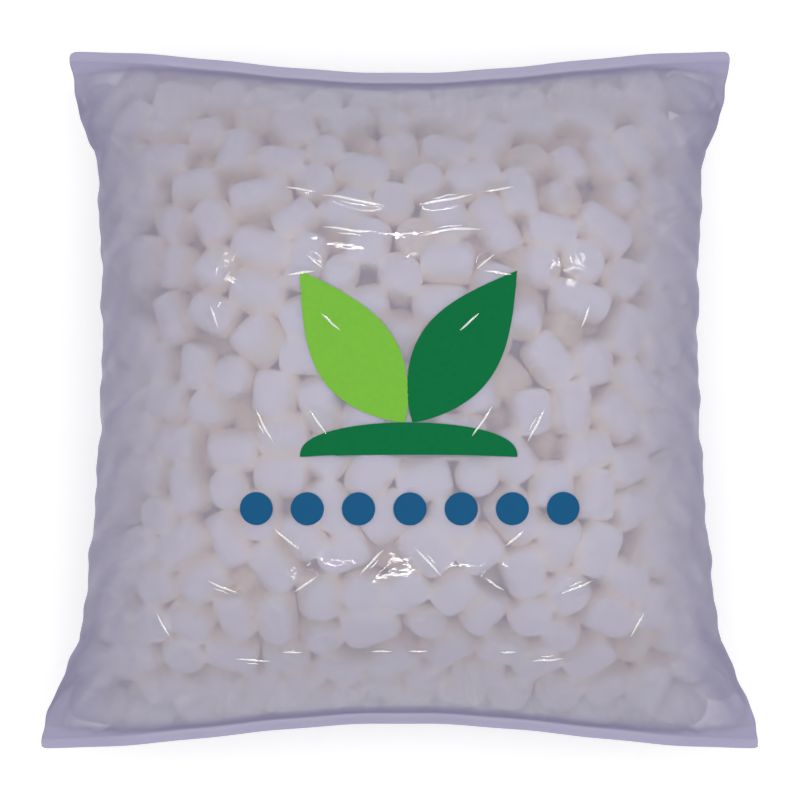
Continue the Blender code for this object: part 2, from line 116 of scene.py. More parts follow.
# Rolls of the right half that catch the light, mirrored on the left: x, y, length, heading in degrees,
# height in millimetres and half width
STREAKS = (
    (0.037, 0.163, 0.062, 11, 1.7, 0.0040),
    (0.081, 0.172, 0.030, 10, 1.2, 0.0034),
    (0.041, 0.138, 0.060, 6, 1.9, 0.0042),
    (0.069, 0.112, 0.024, 40, 1.3, 0.0032),
    (0.080, 0.103, 0.026, -8, 1.5, 0.0034),
    (0.056, 0.063, 0.030, 42, 1.5, 0.0032),
    (0.066, -0.018, 0.032, 55, 1.6, 0.0032),
    (0.110, -0.021, 0.036, 62, 1.8, 0.0036),
    (0.151, 0.068, 0.022, 70, 1.3, 0.0032),
    (0.093, -0.112, 0.026, 40, 1.7, 0.0036),
    (0.023, -0.131, 0.034, -47, 1.9, 0.0040),
    (0.145, -0.153, 0.036, 22, 1.3, 0.0034),
    (0.077, -0.150, 0.026, -35, 1.3, 0.0034),
    (0.196, -0.186, 0.026, 62, 1.3, 0.0034),
    (0.122, -0.215, 0.034, 4, 1.2, 0.0034),
    (0.089, -0.208, 0.018, 0, 1.1, 0.0032),
    (0.015, -0.207, 0.020, 0, 1.1, 0.0032),
)
# Where the film is pulled straight over many peanuts: y, half length and half width, and how straight
TAUT_PLACES = ((0.148, 0.085, 0.045, 0.5),)

# Film
TAUT_MARGIN = 0.0050
TAUT_OVERALL = 0.35
MOST_TAUT = 0.95
PLEAT_STEPS = 40
PLEAT_COLUMNS = 9
PLEAT_WIDTH = 0.0027
PLEAT_LIFT = 0.00015
LONG_ROLL = 0.033
FRONT_CELLS = 288
STRAIGHT_CELLS = 8  # from a side fold
BACK_SHARE = 3
FILM_GAP = 0.0005
PULL = 0.000009
DRAPE_STEPS = 260

rng = np.random.default_rng(5)


def seal_y(side, across):
    dip = TOP_DIP if side > 0 else BOTTOM_DIP
    bow = (1 - np.cos(np.pi * np.abs(across))) / 2
    return side * (CORNER_LENGTH / 2 - SEAL_BAND - dip * (1 - bow))


def half_width(y):
    corner = CORNER_LENGTH / 2
    hip_y = BOTTOM_EAR_LENGTH - corner
    curve = (HIP_WIDTH - WAIST_WIDTH) / 2 / (hip_y - WAIST_UP) ** 2

    def body(at):
        return WAIST_WIDTH / 2 + curve * (at - WAIST_UP) ** 2

    bottom = min(1, (y + corner) / BOTTOM_EAR_LENGTH)
    top = min(1, (corner - y) / TOP_EAR_LENGTH)
    bottom_ear = (BOTTOM_CORNERS_WIDTH / 2 - body(-corner)) * (1 - bottom**BOTTOM_EAR_POWER)
    top_ear = (TOP_CORNERS_WIDTH / 2 - body(corner)) * (1 - top**TOP_EAR_POWER)
    return body(y) + bottom_ear + top_ear


def fullness(across, along):
    rounding = WIDTH_ROUNDING + EAR_ROUNDING * abs(along) ** SEAL_POWER
    lengthwise = (1 - abs(along) ** LENGTH_POWER) ** LENGTH_ROUNDING
    return lengthwise * (1 - np.abs(across) ** WIDTH_POWER) ** rounding


def section(along, panel, count):
    """A line of points across the bag on its top (1) or bottom (-1) panel, evenly spaced on the film."""
    across = -np.cos(np.linspace(0, np.pi, SECTION_SAMPLES))
    reach = abs(along) ** LENGTH_POWER
    middle_y = along * abs(seal_y(math.copysign(1, along), 0))
    fold_y = along * abs(seal_y(math.copysign(1, along), 1))
    y = middle_y + (fold_y - middle_y) * reach * (1 - np.cos(np.pi * np.abs(across))) / 2
    x = across * half_width(middle_y + (fold_y - middle_y) * reach)
    wave = GATHER_DEPTH * np.cos(np.pi * GATHERS * across) * abs(along) ** SEAL_POWER
    droop = EAR_DROOP * np.abs(across) ** DROOP_ACROSS_POWER * abs(along) ** DROOP_ALONG_POWER
    share = fullness(across, along)
    if panel > 0:
        z = SEAL_HEIGHT + FOLD_RADIUS + (THICKNESS - SEAL_HEIGHT - FOLD_RADIUS) * share
    else:
        z = (SEAL_HEIGHT - FOLD_RADIUS) * (1 - np.minimum(1, share / FLOOR_SHARE)) ** 2
    z += (wave - droop) * (1 - share)
    line = np.stack([x, y, z], axis=1)
    run = np.concatenate([[0], np.cumsum(np.linalg.norm(np.diff(line, axis=0), axis=1))])
    even = np.linspace(0, run[-1], count)
    return np.stack([np.interp(even, run, line[:, i]) for i in range(3)], axis=1)


def even_rows(panel, count):
    """Values of along that lie evenly on the film at its middle line."""
    fine = np.sin(np.linspace(-np.pi / 2, np.pi / 2, 401))
    middle = np.array([section(along, panel, 3)[1] for along in fine])
    run = np.concatenate([[0], np.cumsum(np.linalg.norm(np.diff(middle, axis=0), axis=1))])
    return np.interp(np.linspace(0, run[-1], count), run, fine)


def outward(points, side):
    normals = np.cross(np.gradient(points, axis=1), np.gradient(points, axis=0))
    size = np.linalg.norm(normals, axis=2, keepdims=True)
    return side * normals / np.maximum(size, 1e-12)


def smooth_panel(side, alongs, columns):
    points = np.array([section(along, side, columns) for along in alongs])
    return points, outward(points, side)


def grid_faces(rows, columns, first=0):
    index = first + np.arange(rows * columns).reshape(rows, columns)
    return np.stack([index[:-1, :-1], index[:-1, 1:], index[1:, 1:], index[1:, :-1]], axis=2).reshape(-1, 4)


def mesh_object(name, points, faces, smooth=True):
    mesh = bpy.data.meshes.new(name)
    mesh.from_pydata([tuple(p) for p in points], [], [tuple(int(i) for i in f) for f in faces])
    mesh.update()
    if smooth:
        mesh.shade_smooth()
    obj = bpy.data.objects.new(name, mesh)
    bpy.context.scene.collection.objects.link(obj)
    return obj


def skin_tree(grids):
    """Both smooth panels, top one first, as one search tree whose faces look outwards."""
    corners, faces = [], []
    for side, grid in zip((1, -1), grids):
        rows, columns = grid.shape[:2]
        index = len(corners) + np.arange(rows * columns).reshape(rows, columns)
        quads = np.stack([index[:-1, :-1], index[:-1, 1:], index[1:, 1:], index[1:, :-1]], axis=2)
        faces += quads.reshape(-1, 4)[:, ::side].tolist()
        corners += grid.reshape(-1, 3).tolist()
    return BVHTree.FromPolygons(corners, faces)


def depths(skin, points):
    """How deep points lie inside the bag, negative outside, and the ways inwards from there."""
    depth = np.empty(len(points))
    inward = np.empty((len(points), 3))
    for i, point in enumerate(points):
        place, normal, _, distance = skin.find_nearest(Vector(point))
        depth[i] = math.copysign(distance, (place - Vector(point)).dot(normal))
        inward[i] = -normal
    return depth, inward


def volume_under(grid):
    """Volume between a panel and the floor."""
    across = np.diff(grid, axis=1)[:-1]
    along = np.diff(grid, axis=0)[:, :-1]
    area = across[..., 0] * along[..., 1] - across[..., 1] * along[..., 0]
    return float(np.sum(area * grid[:-1, :-1, 2]))


def touching_balls(points, reach, count):
    """Pairs of balls of different peanuts that may come to touch. Ball i belongs to peanut i % count."""
    tree = KDTree(len(points))
    for i, point in enumerate(points):
        tree.insert(point, i)
    tree.balance()
    pairs = []
    for i, point in enumerate(points):
        pairs += [(i, j) for _, j, _ in tree.find_range(point, reach) if j > i and (j - i) % count]
    return np.array(pairs).T


def packed_peanuts(grids, skin, rng):
    """Middles, axes, radii and half lengths of the peanuts that fill the bag."""
    small, large = TOP_PEANUT_DIAMETER / 2, PEANUT_DIAMETER / 2
    room = volume_under(grids[0]) - volume_under(grids[1])
    count = round(PACKED_SHARE * room / (math.pi * ((small + large) / 2) ** 2 * PEANUT_LENGTH))
    low, high = grids[0].min(axis=(0, 1)) * (1, 1, 0), grids[0].max(axis=(0, 1))
    middle = np.empty((0, 3))
    while len(middle) < count:
        tries = rng.uniform(low, high, (count, 3))
        middle = np.concatenate([middle, tries[depths(skin, tries)[0] > START_DEPTH * small]])
    middle = middle[:count]
    up = (middle[:, 1] - low[1]) / (high[1] - low[1])
    radius = (large + (small - large) * up) * (1 + DIAMETER_SPREAD * odds(rng, count))
    half = PEANUT_LENGTH / 2 * (1 + LENGTH_SPREAD * odds(rng, count))
    axis = rng.normal(size=(count, 3))
    axis /= np.linalg.norm(axis, axis=1, keepdims=True)
    owner = np.arange(2 * count) % count
    sign = np.repeat([1.0, -1.0], count)[:, None]
    for step in range(GROWTH_STEPS + SETTLING_STEPS):
        size = min(1, START_SIZE + (1 - START_SIZE) * step / GROWTH_STEPS)
        ball = (radius * size)[owner]
        reach = (half - BALL_SHARE * radius) * size
        balls = middle[owner] + axis[owner] * reach[owner][:, None] * sign
        if step % SEARCH_EVERY == 0:
            i, j = touching_balls(balls, SEARCH_REACH * large, count)
            outer = np.flatnonzero(depths(skin, balls)[0] < OUTER_REACH * large)
        between = balls[i] - balls[j]
        apart = np.linalg.norm(between, axis=1)
        push = between * (PUSH_SHARE * np.maximum(0, ball[i] + ball[j] - apart) / apart)[:, None]
        move = np.zeros_like(balls)
        np.add.at(move, i, push)
        np.add.at(move, j, -push)
        depth, inward = depths(skin, balls[outer])
        move[outer] += inward * np.maximum(0, ball[outer] + FILM + CLEARANCE - depth)[:, None]
        first, second = move[:count], move[count:]
        middle = middle + (first + second) / 2
        lever = 2 * np.maximum(reach, LEAST_LEVER * radius)
        axis = axis + (first - second) * (TURN_SHARE / lever)[:, None]
        axis /= np.linalg.norm(axis, axis=1, keepdims=True)
    return middle, axis, radius, half


def odds(rng, count):
    return np.clip(rng.normal(size=count), -WIDEST_SPREAD, WIDEST_SPREAD)


def peanut_mesh(name, chosen, peanuts, place, skin, around, rings):
    """The chosen peanuts as one mesh: short foam cylinders with rounded, slightly skewed ends, and a deep attribute
    that paints shade into the gaps between them.
    """
    middle, axis, radius, half = peanuts
    radius, half = radius * SWELL, half * STRETCH
    depth, inward = place
    turn = np.linspace(-np.pi / 2, np.pi / 2, rings + 2)[1:-1]
    out = np.cos(turn) ** (2 / END_POWER)
    along = np.sign(turn) * np.abs(np.sin(turn)) ** (2 / END_POWER)
    theta = np.arange(around) * 2 * np.pi / around
    cos, sin = np.cos(theta)[None], np.sin(theta)[None]
    points, faces, tone, cut, rest, deep = [], [], [], [], [], []
    for k in chosen:
        a = axis[k]
        side = np.cross(a, [0.3, 0.5, 0.81])
        side /= np.linalg.norm(side)
        other = np.cross(a, side)
        spin = rng.uniform(0, 2 * np.pi)
        side, other = side * np.cos(spin) + other * np.sin(spin), other * np.cos(spin) - side * np.sin(spin)
        oval, taper, belly, bend, skew = rng.normal(0, 1, 5) * (0.045, 0.03, 0.02, 0.04, 0.06)
        phase = rng.uniform(0, 2 * np.pi, 4)
        z = along[:, None] * np.ones_like(cos)
        lump = 0.012 * np.sin(2 * theta[None] + phase[0] + 2.1 * z) + 0.010 * np.sin(3 * theta[None] + phase[1] - 3.0 * z)
        lump = lump + 0.007 * np.sin(5 * theta[None] + phase[2] + 4.0 * z)
        swell = (1 + taper * z + belly * (1 - z**2) + lump) * radius[k] * out[:, None]
        x = swell * cos * (1 + oval) + bend * radius[k] * (z**2 - 0.4)
        y = swell * sin * (1 - oval)
        long = half[k] * (z + skew * out[:, None] * cos * np.abs(z) ** 3 * np.sign(z) * 0.8)
        shell = x[..., None] * side + y[..., None] * other + long[..., None] * a
        poles = np.array([-a, a]) * half[k] * 0.995 + side * bend * radius[k] * 0.6
        body = np.concatenate([shell.reshape(-1, 3), poles]) + middle[k]
        local = np.stack([x, y, long], axis=2).reshape(-1, 3)
        local = np.concatenate([local, [[0, 0, -half[k]], [0, 0, half[k]]]]) + rng.uniform(-3, 3, 3)
        first = len(points) * (rings * around + 2)
        index = first + np.arange(rings * around).reshape(rings, around)
        nxt = np.roll(index, -1, axis=1)
        quads = np.stack([index[:-1], nxt[:-1], nxt[1:], index[1:]], axis=2).reshape(-1, 4)
        low, high = first + rings * around, first + rings * around + 1
        faces += [tuple(q) for q in quads]
        faces += [(low, nxt[0, i], index[0, i]) for i in range(around)]
        faces += [(high, index[-1, i], nxt[-1, i]) for i in range(around)]
        points.append(body)
        # How far each point lies below the film, faded out near the flanks and seals: the deep attribute, which
        # drives the painted shade in the gaps between peanuts.
        under = depth[k] + (body - middle[k]) @ inward[k]
        inner_x = np.abs(body[:, 0]) / half_width(middle[k, 1])
        shade_shown = np.clip((0.86 - inner_x) / 0.14, 0, 1) * np.clip((0.250 - np.abs(body[:, 1])) / 0.03, 0, 1)
        deep.append(np.clip((under - 0.003) / 0.022, 0, 1) * shade_shown)
        tone.append(np.full(len(body), rng.random()))
        ends = np.clip((np.abs(along) - 0.88) / 0.10, 0, 1)
        cut.append(np.concatenate([np.repeat(ends, around), [1, 1]]))
        rest.append(local)
    points = np.concatenate(points)
    near = np.flatnonzero(np.repeat(depth[chosen] < NEAR_FILM, rings * around + 2))
    if len(near):
        under, way = depths(skin, points[near])
        points[near] += way * np.maximum(0, FLATTENED - under)[:, None]
    points[:, 2] = np.maximum(points[:, 2], FILM + CLEAR)
    obj = mesh_object(name, points, faces)
    layers = ("tone", "FLOAT", tone), ("cut", "FLOAT", cut), ("deep", "FLOAT", deep), ("rest", "FLOAT_VECTOR", rest)
    for label, kind, values in layers:
        layer = obj.data.attributes.new(label, kind, "POINT")
        layer.data.foreach_set("vector" if kind == "FLOAT_VECTOR" else "value", np.concatenate(values).ravel())
    return obj


def tree_of(objects):
    points, faces = [], []
    for obj in objects:
        first = len(points)
        points += [v.co.copy() for v in obj.data.vertices]
        faces += [[first + i for i in p.vertices] for p in obj.data.polygons]
    return BVHTree.FromPolygons(points, faces)


def press_under(film, pieces):
    """Moves the foam in wherever it would stand out of the finished film."""
    skin = tree_of([film])
    for obj in pieces:
        co = np.empty(len(obj.data.vertices) * 3, np.float32)
        obj.data.vertices.foreach_get("co", co)
        points = co.reshape(-1, 3).astype(float)
        reach = np.vectorize(half_width)(points[:, 1]) - FLANK_CLEAR
        points[:, 0] = np.clip(points[:, 0], -reach, reach)
        depth, inward = depths(skin, points)
        aside = np.maximum(np.abs(points[:, 0]) / reach - 0.75, np.abs(points[:, 1]) / CORNER_LENGTH * 2 - 0.72)
        clear = CLEAR + RIM_CLEAR * np.clip(aside / 0.10, 0, 1)
        points += inward * np.maximum(0, clear - depth)[:, None]
        obj.data.vertices.foreach_set("co", points.ravel().astype(np.float32))
        obj.data.update()


def draped(points, normals, obstacles, side, taut):
    """The smooth panel drawn in between the peanuts: each point moves along its own normal."""
    rows, columns = points.shape[:2]
    room = np.full((rows, columns), 0.02)
    look = 0.010
    for r in range(1, rows - 1):
        for c in range(1, columns - 1):
            normal = Vector(normals[r, c])
            hit = obstacles.ray_cast(Vector(points[r, c]) + normal * look, -normal, 0.04)
            if hit[3] is not None:
                room[r, c] = hit[3] - look - FILM_GAP
    depth = np.minimum(room, 0.0)
    rim = np.zeros_like(room, dtype=bool)
    rim[0], rim[-1], rim[:, 0], rim[:, -1] = True, True, True, True
    for _ in range(DRAPE_STEPS):
        near = depth.copy()
        near[1:-1, 1:-1] = (depth[:-2, 1:-1] + depth[2:, 1:-1] + depth[1:-1, :-2] + depth[1:-1, 2:]) / 4
        depth = np.minimum(near + PULL, room)
        depth[rim] = 0
    border = np.minimum(np.arange(columns), columns - 1 - np.arange(columns)) * FRONT_CELLS / (columns - 1)
    depth *= np.clip(border / STRAIGHT_CELLS, 0, 1)
    laid = points - normals * (depth * (1 - taut))[..., None]
    if side < 0:
        laid[..., 2] = np.maximum(laid[..., 2], np.minimum(points[..., 2], 0.0))
        laid[..., 2] = np.where(points[..., 2] < 0.0002, 0.0, laid[..., 2])
    return laid


def crease_list():
    """Where the film is creased: x, y, length, heading, height, half width and bow."""
    found = []
    for x, y, long, heading, high, wide in STREAKS:
        for side in (1, -1):
            turned = math.radians(heading if side > 0 else 180 - heading)
            found.append((side * x, y, long, turned, high, wide, rng.normal(0, 1.2)))
    for _ in range(70):
        heading = rng.normal(0, 0.6) if rng.random() < 0.7 else rng.uniform(0, np.pi)
        x, y = rng.uniform(-0.22, 0.22), rng.uniform(-0.25, 0.24)
        found.append((x, y, rng.uniform(0.010, 0.034), heading, rng.uniform(0.2, 0.5), 0.0019, rng.normal(0, 2)))
    for end in (1, -1):
        for share in np.linspace(-0.92, 0.92, 19) + rng.normal(0, 0.015, 19):
            long = rng.uniform(0.028, 0.070)
            x = share * half_width(end * (CORNER_LENGTH / 2 - 0.03))
            y = seal_y(end, share) - end * long * 0.42
            heading = np.pi / 2 + rng.normal(0, 0.16) - share * end * 0.5
            found.append((x, y, long, heading, rng.uniform(0.5, 1.3), rng.uniform(0.0022, 0.0042), 0))
    for side in (1, -1):
        for y in np.linspace(-0.225, 0.225, 17) + rng.normal(0, 0.008, 17):
            long = rng.uniform(0.026, 0.070)
            heading = rng.normal(0, 0.25) + (0.55 if y > 0 else -0.45) * side
            x = side * (half_width(y) - long * 0.44)
            found.append((x, y, long, heading, rng.uniform(0.8, 2.0), rng.uniform(0.0030, 0.0050), 0))
        for end in (1, -1):
            for share in (0.25, 0.5, 0.75):
                long = rng.uniform(0.07, 0.12)
                heading = math.atan2(end * (0.4 + share), side)
                x = side * (half_width(end * 0.25) + 0.010) - math.cos(heading) * long * 0.36
                y = end * 0.275 - math.sin(heading) * long * 0.36 - end * 0.03 * (1 - share)
                found.append((x, y, long, heading, rng.uniform(0.8, 1.5), rng.uniform(0.003, 0.005), 0))
    return found


def creases(points):
    """The film's creases as narrow ridges that fade out at both ends: their height, and how taut they hold it."""
    height = np.zeros(points.shape[:2])
    taut = np.full(points.shape[:2], TAUT_OVERALL)
    for y, long, wide, share in TAUT_PLACES:
        taut += share * np.exp(-((points[..., 0] / long) ** 4) - ((points[..., 1] - y) / wide) ** 4)
    for x, y, long, heading, high, wide, bow in crease_list():
        dx, dy = points[..., 0] - x, points[..., 1] - y
        along = dx * math.cos(heading) + dy * math.sin(heading)
        across = dy * math.cos(heading) - dx * math.sin(heading) - bow * along**2
        fade = np.clip(1 - (2 * along / long) ** 2, 0, 1) ** 1.5
        ridge = np.exp(-(np.abs(across / wide) ** 1.7)) - 0.3 * np.exp(-(((across - 2.4 * wide) / (1.7 * wide)) ** 2))
        height += high / 1000 * fade * ridge
        held = np.exp(-((across / (wide + TAUT_MARGIN)) ** 4))
        taut = np.maximum(taut, fade**0.4 * held * min(MOST_TAUT, high / 1.2))
    n = FRONT_CELLS
    border = np.minimum(np.arange(n + 1), n - np.arange(n + 1))
    near_seal = np.clip(border / 4, 0, 1)[:, None]
    near_fold = np.clip(border / 9, 0, 1)[None]
    return height * near_seal * near_fold, taut


def wavy(points):
    """Lets the side folds wander a little, as soft film does."""
    x, y = points[..., 0], points[..., 1]
    widths = np.vectorize(half_width)(y)
    wander = 0.0008 * np.sin(y * 2 * np.pi / 0.071 + 0.6) + 0.0006 * np.sin(y * 2 * np.pi / 0.043 + 2.0)
    wander = wander + 0.0004 * np.sin(y * 2 * np.pi / 0.023 + np.sign(x))
    moved = points.copy()
    moved[..., 0] += np.sign(x) * np.abs(x / widths) ** 6 * (wander - 0.0006)
    return moved


def with_round_tips(points):
    """Rounds the four corners of the film's outline off."""
    for side in (1, -1):
        for end in (1, -1):
            radius = TIP_RADIUS
            corner = end * CORNER_LENGTH / 2
            middle = np.array([side * (half_width(corner) - radius), corner - end * radius])
            away = (points[:, :2] - middle) * (side, end)
            inside = (away > 0).all(axis=1)
            reach = away[inside].max(axis=1) / np.maximum(np.linalg.norm(away[inside], axis=1), 1e-9)
            points[inside, :2] = middle + away[inside] * reach[:, None] * (side, end)
    return points


def new_material(name):
    made = bpy.data.materials.new(name)
    made.use_nodes = True
    nodes = made.node_tree.nodes
    for node in list(nodes):
        nodes.remove(node)
    out = nodes.new("ShaderNodeOutputMaterial")
    return made, nodes, made.node_tree.links, out


def foam_material():
    made, nodes, links, out = new_material("starch_foam_skin")
    shader = nodes.new("ShaderNodeBsdfPrincipled")
    shader.inputs["Roughness"].default_value = 0.82
    shader.inputs["Specular IOR Level"].default_value = 0.25
    shader.subsurface_method = "BURLEY"
    shader.inputs["Subsurface Weight"].default_value = 1.0
    shader.inputs["Subsurface Radius"].default_value = (1.0, 0.86, 0.72)
    shader.inputs["Subsurface Scale"].default_value = 0.016
    links.new(shader.outputs[0], out.inputs[0])
    tone = nodes.new("ShaderNodeAttribute")
    tone.attribute_name = "tone"
    ramp = nodes.new("ShaderNodeValToRGB")
    ramp.color_ramp.elements[0].color = (0.865, 0.86, 0.885, 1)
    ramp.color_ramp.elements[1].color = (0.88, 0.885, 0.92, 1)
    links.new(tone.outputs["Fac"], ramp.inputs[0])
    # Painted shade: the foam's colour turns darker and browner the deeper a point lies below the film, in the gaps
    # between peanuts.
    deep = nodes.new("ShaderNodeAttribute")
    deep.attribute_name = "deep"
    gap_shade = nodes.new("ShaderNodeValToRGB")
    gap_shade.color_ramp.elements[0].color = (1, 1, 1, 1)
    gap_shade.color_ramp.elements[1].color = (0.70, 0.56, 0.38, 1)
    for position, color in ((0.15, (1.0, 0.96, 0.84, 1)), (0.45, (0.90, 0.79, 0.57, 1))):
        gap_shade.color_ramp.elements.new(position).color = color
    links.new(deep.outputs["Fac"], gap_shade.inputs[0])
    tone_and_gap_shade = nodes.new("ShaderNodeMix")
    tone_and_gap_shade.data_type = "RGBA"
    tone_and_gap_shade.blend_type = "MULTIPLY"
    tone_and_gap_shade.inputs["Factor"].default_value = 1.0
    links.new(ramp.outputs[0], tone_and_gap_shade.inputs["A"])
    links.new(gap_shade.outputs[0], tone_and_gap_shade.inputs["B"])
    links.new(tone_and_gap_shade.outputs["Result"], shader.inputs["Base Color"])
    rest = nodes.new("ShaderNodeAttribute")
    rest.attribute_name = "rest"
    pores = nodes.new("ShaderNodeTexVoronoi")
    pores.inputs["Scale"].default_value = 900
    streaks = nodes.new("ShaderNodeTexNoise")
    streaks.inputs["Scale"].default_value = 260
    streaks.inputs["Detail"].default_value = 2
    stretch = nodes.new("ShaderNodeVectorMath")
    stretch.operation = "MULTIPLY"
    stretch.inputs[1].default_value = (1, 1, 0.22)
    links.new(rest.outputs["Vector"], stretch.inputs[0])
    links.new(stretch.outputs[0], streaks.inputs["Vector"])
    links.new(rest.outputs["Vector"], pores.inputs["Vector"])
    cut = nodes.new("ShaderNodeAttribute")
    cut.attribute_name = "cut"
    mix = nodes.new("ShaderNodeMix")
    links.new(cut.outputs["Fac"], mix.inputs["Factor"])
    links.new(streaks.outputs["Fac"], mix.inputs["A"])
    links.new(pores.outputs["Distance"], mix.inputs["B"])
    bump = nodes.new("ShaderNodeBump")
    bump.inputs["Strength"].default_value = 0.35
    bump.inputs["Distance"].default_value = 0.0006
    links.new(mix.outputs["Result"], bump.inputs["Height"])
    links.new(bump.outputs[0], shader.inputs["Normal"])
    return made


def film_material():
    made, nodes, links, out = new_material("clear_film_skin")
    veil_colour = nodes.new("ShaderNodeBsdfPrincipled")
    veil_colour.inputs["Roughness"].default_value = 0.5
    veil_colour.inputs["Specular IOR Level"].default_value = 0.0
    through = nodes.new("ShaderNodeBsdfTransparent")
    through.inputs["Color"].default_value = (0.99, 0.985, 0.995, 1)
    gloss = nodes.new("ShaderNodeBsdfGlossy")
    gloss.inputs["Color"].default_value = (1, 1, 1, 1)
    gloss.inputs["Roughness"].default_value = 0.03
    fresnel = nodes.new("ShaderNodeFresnel")
    fresnel.inputs["IOR"].default_value = 1.5
    shine = nodes.new("ShaderNodeMixShader")
    links.new(fresnel.outputs[0], shine.inputs[0])
    links.new(through.outputs[0], shine.inputs[1])
    links.new(gloss.outputs[0], shine.inputs[2])
    haze_and_shade = nodes.new("ShaderNodeAttribute")
    haze_and_shade.attribute_name = "haze_and_shade"
    # The film's colour by its milkiness: lightest where it is least milky, in the middle of the front, as painted
    # light standing in for light the film would pass on to the foam, and darker purple where it is milkier.
    veil_tint_and_shade = nodes.new("ShaderNodeValToRGB")
    veil_tint_and_shade.color_ramp.elements[0].position = 0.40
    veil_tint_and_shade.color_ramp.elements[0].color = (0.62, 0.58, 0.74, 1)
    veil_tint_and_shade.color_ramp.elements[1].position = 0.64
    veil_tint_and_shade.color_ramp.elements[1].color = (0.41, 0.38, 0.55, 1)
    veil_tint_and_shade.color_ramp.elements.new(0.73).color = (0.355, 0.33, 0.49, 1)
    veil_tint_and_shade.color_ramp.elements.new(0.84).color = (0.41, 0.38, 0.55, 1)
    veil_tint_and_shade.color_ramp.elements.new(0.95).color = (0.41, 0.385, 0.56, 1)
    # The ramp's last, darker grey colour is painted shade, reached only along the middle of the bottom seal.
    veil_tint_and_shade.color_ramp.elements.new(1.0).color = (0.23, 0.215, 0.225, 1)
    links.new(haze_and_shade.outputs["Fac"], veil_tint_and_shade.inputs[0])
    links.new(veil_tint_and_shade.outputs[0], veil_colour.inputs["Base Color"])
    veil = nodes.new("ShaderNodeMixShader")
    links.new(haze_and_shade.outputs["Fac"], veil.inputs[0])
    links.new(shine.outputs[0], veil.inputs[1])
    links.new(veil_colour.outputs[0], veil.inputs[2])
    links.new(veil.outputs[0], out.inputs[0])
    place = nodes.new("ShaderNodeTexCoord")
    crinkle = nodes.new("ShaderNodeTexNoise")
    crinkle.inputs["Scale"].default_value = 60
    crinkle.inputs["Detail"].default_value = 2
    crinkle.inputs["Roughness"].default_value = 0.55
    links.new(place.outputs["Object"], crinkle.inputs["Vector"])
    bump = nodes.new("ShaderNodeBump")
    bump.inputs["Strength"].default_value = 0.3
    bump.inputs["Distance"].default_value = 0.0015
    links.new(crinkle.outputs["Fac"], bump.inputs["Height"])
    for node in (gloss, fresnel):
        links.new(bump.outputs[0], node.inputs["Normal"])
    return made


def film_object(front, back):
    """Both panels, the side folds and the heat seals as one skin. The back is coarser, and its rim is stitched on."""
    n = FRONT_CELLS
    m = n // BACK_SHARE
    points = [front.reshape(-1, 3), back.reshape(-1, 3)]
    faces = [tuple(q) for q in grid_faces(n + 1, n + 1)]
    start = (n + 1) ** 2
    faces += [tuple(q[::-1]) for q in grid_faces(m + 1, m + 1, start)]
    fine = np.arange(start).reshape(n + 1, n + 1)
    coarse = start + np.arange((m + 1) ** 2).reshape(m + 1, m + 1)
    for column, back_column, flip in ((0, 0, True), (n, m, False)):
        for i in range(m):
            low, high = coarse[i, back_column], coarse[i + 1, back_column]
            f = [fine[i * BACK_SHARE + j, column] for j in range(BACK_SHARE + 1)]
            strip = [(low, f[1], f[0]), (low, high, f[2], f[1]), (high, f[3], f[2])]
            faces += [tuple(t[::-1]) if flip else tuple(t) for t in strip]
    count = start + (m + 1) ** 2
    for side, row, back_row in ((-1, 0, 0), (1, n, m)):
        edge = front[row]
        under = back[back_row]
        corner = side * CORNER_LENGTH / 2
        flare = half_width(corner) / half_width(corner - side * SEAL_BAND) - 1
        rows = []
        for share in (0.12, 0.5, 0.9, 1.0):
            low = np.stack([np.interp(np.arange(n + 1), np.arange(m + 1) * BACK_SHARE, under[:, k]) for k in range(3)], axis=1)
            line = (edge + low) / 2
            line = line + np.array([0, side * SEAL_BAND * share, 0])
            line[:, 0] *= 1 + flare * share
            line[:, 2] += FILM
            rows.append(count + np.arange(n + 1))
            points.append(line)
            count += n + 1
        chain = [fine[row], *rows]
        for near, far in zip(chain, chain[1:]):
            quads = [(near[i], near[i + 1], far[i + 1], far[i]) for i in range(n)]
            faces += [q if side > 0 else q[::-1] for q in quads]
        for i in range(m):
            low, high = coarse[back_row, i], coarse[back_row, i + 1]
            f = [rows[0][i * BACK_SHARE + j] for j in range(BACK_SHARE + 1)]
            strip = [(low, f[0], f[1]), (low, f[1], f[2], high), (high, f[2], f[3])]
            faces += [tuple(t) if side > 0 else tuple(t[::-1]) for t in strip]
    return mesh_object("film", with_round_tips(np.concatenate(points)), faces)


